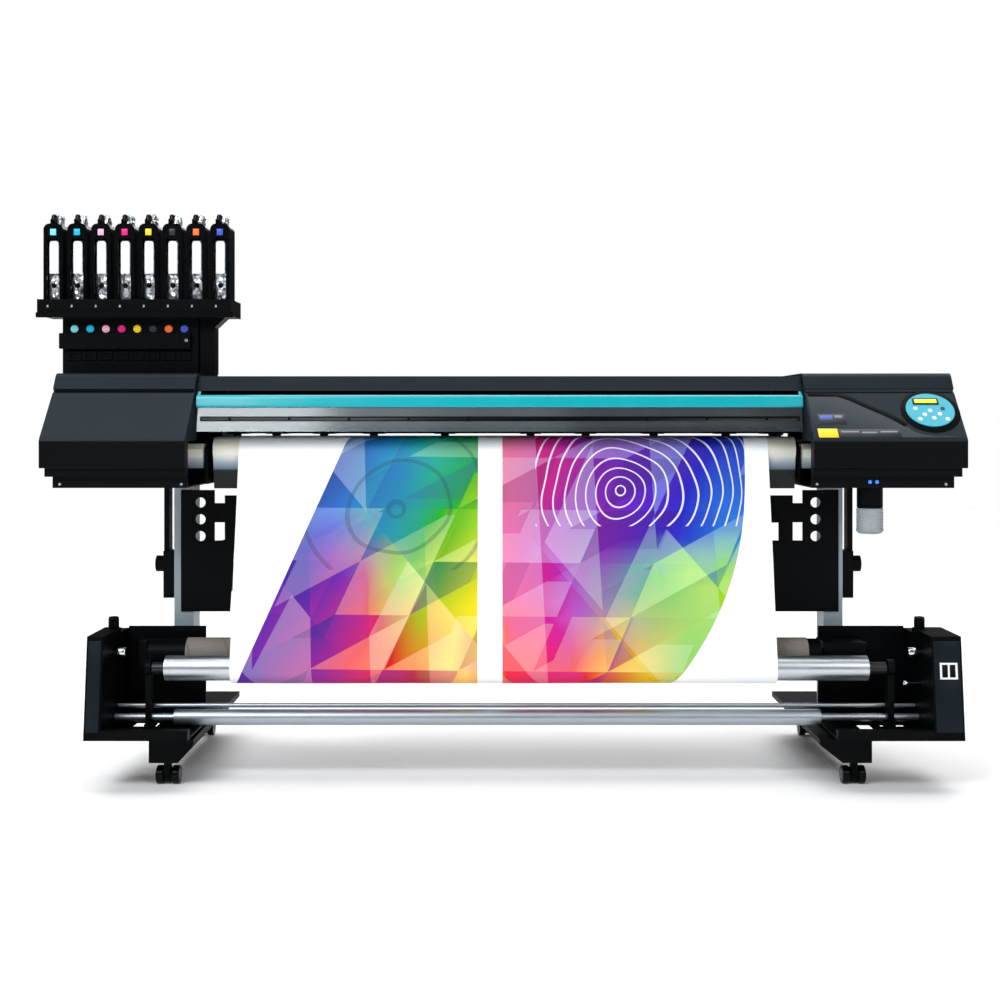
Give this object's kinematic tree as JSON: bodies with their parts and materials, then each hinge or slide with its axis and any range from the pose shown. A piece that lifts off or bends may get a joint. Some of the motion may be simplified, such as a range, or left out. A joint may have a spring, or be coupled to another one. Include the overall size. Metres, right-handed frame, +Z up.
{
  "type": "wide-format printer cutter",
  "caption": "Floor-standing wide roll printer and cutter with side covers, lifting front cover, ink pouch rack, caster stand and take-up unit",
  "frame": {"origin": "centre of the bottom of the whole machine's box, on the floor", "axes": "+X across the machine to the operator's right, +Y to the back, +Z up"},
  "size_m": [2.66, 0.826, 1.627],
  "materials": {
    "frame_paint": "powder-coated dark grey",
    "alu_rail": "extruded, satin",
    "platen_alu": "anodised",
    "apron_paint": "cream paint above, dark paint below",
    "bright_steel": "bright rolled steel",
    "cover_slate": "satin slate moulding",
    "top_slate": "satin slate paint",
    "handle_teal": "glossy teal",
    "window_smoke": "smoked clear panel",
    "carriage_black": "fine texture",
    "head_steel": "satin",
    "blade_chrome": "polished",
    "belt_rubber": "matt black",
    "pulley_alu": "turned",
    "grit_steel": "fine grit surface",
    "arm_black": "black paint",
    "wheel_rubber": "moulded rubber",
    "station_grey": "matt",
    "box_steel": "black paint",
    "switch_black": "gloss",
    "panel_teal": "gloss teal overlay",
    "key_white": "pale keys",
    "bay_black": "black moulding",
    "holder_black": "semi-gloss black",
    "pouch_film": "silver film",
    "bottle_clear": "frosted polyethylene",
    "leg_grey": "silver-grey paint",
    "stand_black": "black paint",
    "housing_black": "satin black",
    "rod_chrome": "plated",
    "roller_alu": "polished tube",
    "core_board": "spiral-wound board",
    "media_paper": "printed coated paper",
    "caster_black": "nylon"
  },
  "bodies": {
    "root": {"base_frame": "frame_paint", "main_beam": "frame_paint", "guide_rail": "alu_rail", "platen": "platen_alu", "apron": "apron_paint", "apron_ends": "bright_steel", "left_cover": "cover_slate", "right_cover": "cover_slate", "top_cover": "top_slate", "belt_drive": "belt_rubber", "maintenance_station": "station_grey", "electronics_box": "box_steel", "control_panel": "panel_teal", "cartridge_bay": "bay_black", "ink_rack": "bay_black", "pouch_holders": "holder_black", "ink_pouches": "pouch_film", "waste_bottle": "bottle_clear", "stand_legs": "leg_grey", "stand_feet": "stand_black", "leg_plates": "stand_black", "takeup_housings": "housing_black", "tie_rods": "rod_chrome", "takeup_mounts": "stand_black", "roll_holders": "stand_black", "media_web": "media_paper"},
    "front_cover": {"front_cover": "handle_teal", "cover_window": "window_smoke"},
    "carriage": {"carriage": "carriage_black", "print_heads": "head_steel"},
    "blade_holder": {"blade_holder": "blade_chrome"},
    "motor_pulley": {"motor_pulley": "pulley_alu"},
    "idler_pulley": {"idler_pulley": "pulley_alu"},
    "grit_roller": {"grit_roller": "grit_steel"},
    "pinch_arms": {"pinch_arms": "arm_black"},
    "pinch_wheels": {"pinch_wheels": "wheel_rubber"},
    "power_switch": {"power_switch": "switch_black"},
    "winding_switch": {"winding_switch": "switch_black"},
    "mode_switch": {"mode_switch": "switch_black"},
    "takeup_core": {"takeup_core": "core_board", "core_holders": "housing_black", "wound_media": "media_paper"},
    "tension_roller": {"tension_roller": "roller_alu"},
    "supply_roll": {"supply_roll": "media_paper"},
    "button_1": {"button_1": "key_white"},
    "button_2": {"button_2": "key_white"},
    "button_3": {"button_3": "key_white"},
    "button_4": {"button_4": "key_white"},
    "button_5": {"button_5": "key_white"},
    "button_6": {"button_6": "key_white"},
    "button_7": {"button_7": "key_white"},
    "button_8": {"button_8": "key_white"},
    "caster_front_left": {"caster_fork_front_left": "caster_black"},
    "wheels_front_left": {"caster_wheels_front_left": "caster_black"},
    "caster_front_right": {"caster_fork_front_right": "caster_black"},
    "wheels_front_right": {"caster_wheels_front_right": "caster_black"},
    "caster_rear_left": {"caster_fork_rear_left": "caster_black"},
    "wheels_rear_left": {"caster_wheels_rear_left": "caster_black"},
    "caster_rear_right": {"caster_fork_rear_right": "caster_black"},
    "wheels_rear_right": {"caster_wheels_rear_right": "caster_black"}
  },
  "joints": [
    {"name": "front_cover_lift", "type": "hinge", "parent": "root", "child": "front_cover", "pos_m": [0.042, -0.165, 1.088], "axis": [-1, 0, 0], "range_deg": [0, 60]},
    {"name": "carriage_slide", "type": "slide", "parent": "root", "child": "carriage", "axis": [-1, 0, 0], "range_m": [0, 2.06]},
    {"name": "blade_drop", "type": "slide", "parent": "carriage", "child": "blade_holder", "axis": [0, 0, -1], "range_m": [0, 0.005], "stiffness_N_per_m": 800, "springref_m": -0.003},
    {"name": "motor_pulley_spin", "type": "hinge", "parent": "root", "child": "motor_pulley", "pos_m": [1.232, 0.09, 1.063], "axis": [0, 0, 1], "continuous": true},
    {"name": "idler_pulley_spin", "type": "hinge", "parent": "root", "child": "idler_pulley", "pos_m": [-1.128, 0.09, 1.063], "axis": [0, 0, 1], "continuous": true},
    {"name": "grit_roller_spin", "type": "hinge", "parent": "root", "child": "grit_roller", "pos_m": [0.042, 0.025, 0.947], "axis": [1, 0, 0], "continuous": true},
    {"name": "pinch_lift", "type": "hinge", "parent": "root", "child": "pinch_arms", "pos_m": [0.042, 0.085, 0.978], "axis": [-1, 0, 0], "range_deg": [0, 8]},
    {"name": "pinch_wheel_spin", "type": "hinge", "parent": "pinch_arms", "child": "pinch_wheels", "pos_m": [0.042, 0.025, 0.975], "axis": [1, 0, 0], "continuous": true},
    {"name": "button_1_press", "type": "slide", "parent": "root", "child": "button_1", "axis": [0, -0.7372, 0.6757], "range_m": [-0.0012, 0], "stiffness_N_per_m": 400},
    {"name": "button_2_press", "type": "slide", "parent": "root", "child": "button_2", "axis": [0, -0.7372, 0.6757], "range_m": [-0.0012, 0], "stiffness_N_per_m": 400},
    {"name": "button_3_press", "type": "slide", "parent": "root", "child": "button_3", "axis": [0, -0.7372, 0.6757], "range_m": [-0.0012, 0], "stiffness_N_per_m": 400},
    {"name": "button_4_press", "type": "slide", "parent": "root", "child": "button_4", "axis": [0, -0.7372, 0.6757], "range_m": [-0.0012, 0], "stiffness_N_per_m": 400},
    {"name": "button_5_press", "type": "slide", "parent": "root", "child": "button_5", "axis": [0, -0.7372, 0.6757], "range_m": [-0.0012, 0], "stiffness_N_per_m": 400},
    {"name": "button_6_press", "type": "slide", "parent": "root", "child": "button_6", "axis": [0, -0.7372, 0.6757], "range_m": [-0.0012, 0], "stiffness_N_per_m": 400},
    {"name": "button_7_press", "type": "slide", "parent": "root", "child": "button_7", "axis": [0, -0.7372, 0.6757], "range_m": [-0.0012, 0], "stiffness_N_per_m": 400},
    {"name": "button_8_press", "type": "slide", "parent": "root", "child": "button_8", "axis": [0, -0.7372, 0.6757], "range_m": [-0.0012, 0], "stiffness_N_per_m": 400},
    {"name": "power_switch_rock", "type": "hinge", "parent": "root", "child": "power_switch", "pos_m": [-1.057, 0.342, 0.92], "axis": [1, 0, 0], "range_deg": [-6, 6]},
    {"name": "winding_switch_rock", "type": "hinge", "parent": "root", "child": "winding_switch", "pos_m": [1.2415, -0.38532, 0.32754], "axis": [1, 0, 0], "range_deg": [-6, 6]},
    {"name": "mode_switch_rock", "type": "hinge", "parent": "root", "child": "mode_switch", "pos_m": [1.2625, -0.38532, 0.32754], "axis": [1, 0, 0], "range_deg": [-6, 6]},
    {"name": "takeup_core_spin", "type": "hinge", "parent": "root", "child": "takeup_core", "pos_m": [0.042, -0.177, 0.343], "axis": [1, 0, 0], "continuous": true},
    {"name": "tension_roller_spin", "type": "hinge", "parent": "root", "child": "tension_roller", "pos_m": [0.042, -0.267, 0.315], "axis": [1, 0, 0], "continuous": true},
    {"name": "supply_roll_spin", "type": "hinge", "parent": "root", "child": "supply_roll", "pos_m": [0.042, 0.288, 0.6], "axis": [1, 0, 0], "continuous": true},
    {"name": "caster_front_left_swivel", "type": "hinge", "parent": "root", "child": "caster_front_left", "pos_m": [-0.89, -0.315, 0.05], "axis": [0, 0, 1], "continuous": true},
    {"name": "wheels_front_left_spin", "type": "hinge", "parent": "caster_front_left", "child": "wheels_front_left", "pos_m": [-0.89, -0.297, 0.025], "axis": [1, 0, 0], "continuous": true},
    {"name": "caster_front_right_swivel", "type": "hinge", "parent": "root", "child": "caster_front_right", "pos_m": [1.014, -0.315, 0.05], "axis": [0, 0, 1], "continuous": true},
    {"name": "wheels_front_right_spin", "type": "hinge", "parent": "caster_front_right", "child": "wheels_front_right", "pos_m": [1.014, -0.297, 0.025], "axis": [1, 0, 0], "continuous": true},
    {"name": "caster_rear_left_swivel", "type": "hinge", "parent": "root", "child": "caster_rear_left", "pos_m": [-0.917, 0.287, 0.05], "axis": [0, 0, 1], "continuous": true},
    {"name": "wheels_rear_left_spin", "type": "hinge", "parent": "caster_rear_left", "child": "wheels_rear_left", "pos_m": [-0.917, 0.305, 0.025], "axis": [1, 0, 0], "continuous": true},
    {"name": "caster_rear_right_swivel", "type": "hinge", "parent": "root", "child": "caster_rear_right", "pos_m": [1.022, 0.287, 0.05], "axis": [0, 0, 1], "continuous": true},
    {"name": "wheels_rear_right_spin", "type": "hinge", "parent": "caster_rear_right", "child": "wheels_rear_right", "pos_m": [1.022, 0.305, 0.025], "axis": [1, 0, 0], "continuous": true}
  ],
  "couplings": [
    {"joint": "motor_pulley_spin", "follows": "carriage_slide", "rad_per_m": -64.516},
    {"joint": "idler_pulley_spin", "follows": "carriage_slide", "rad_per_m": -64.516}
  ]
}
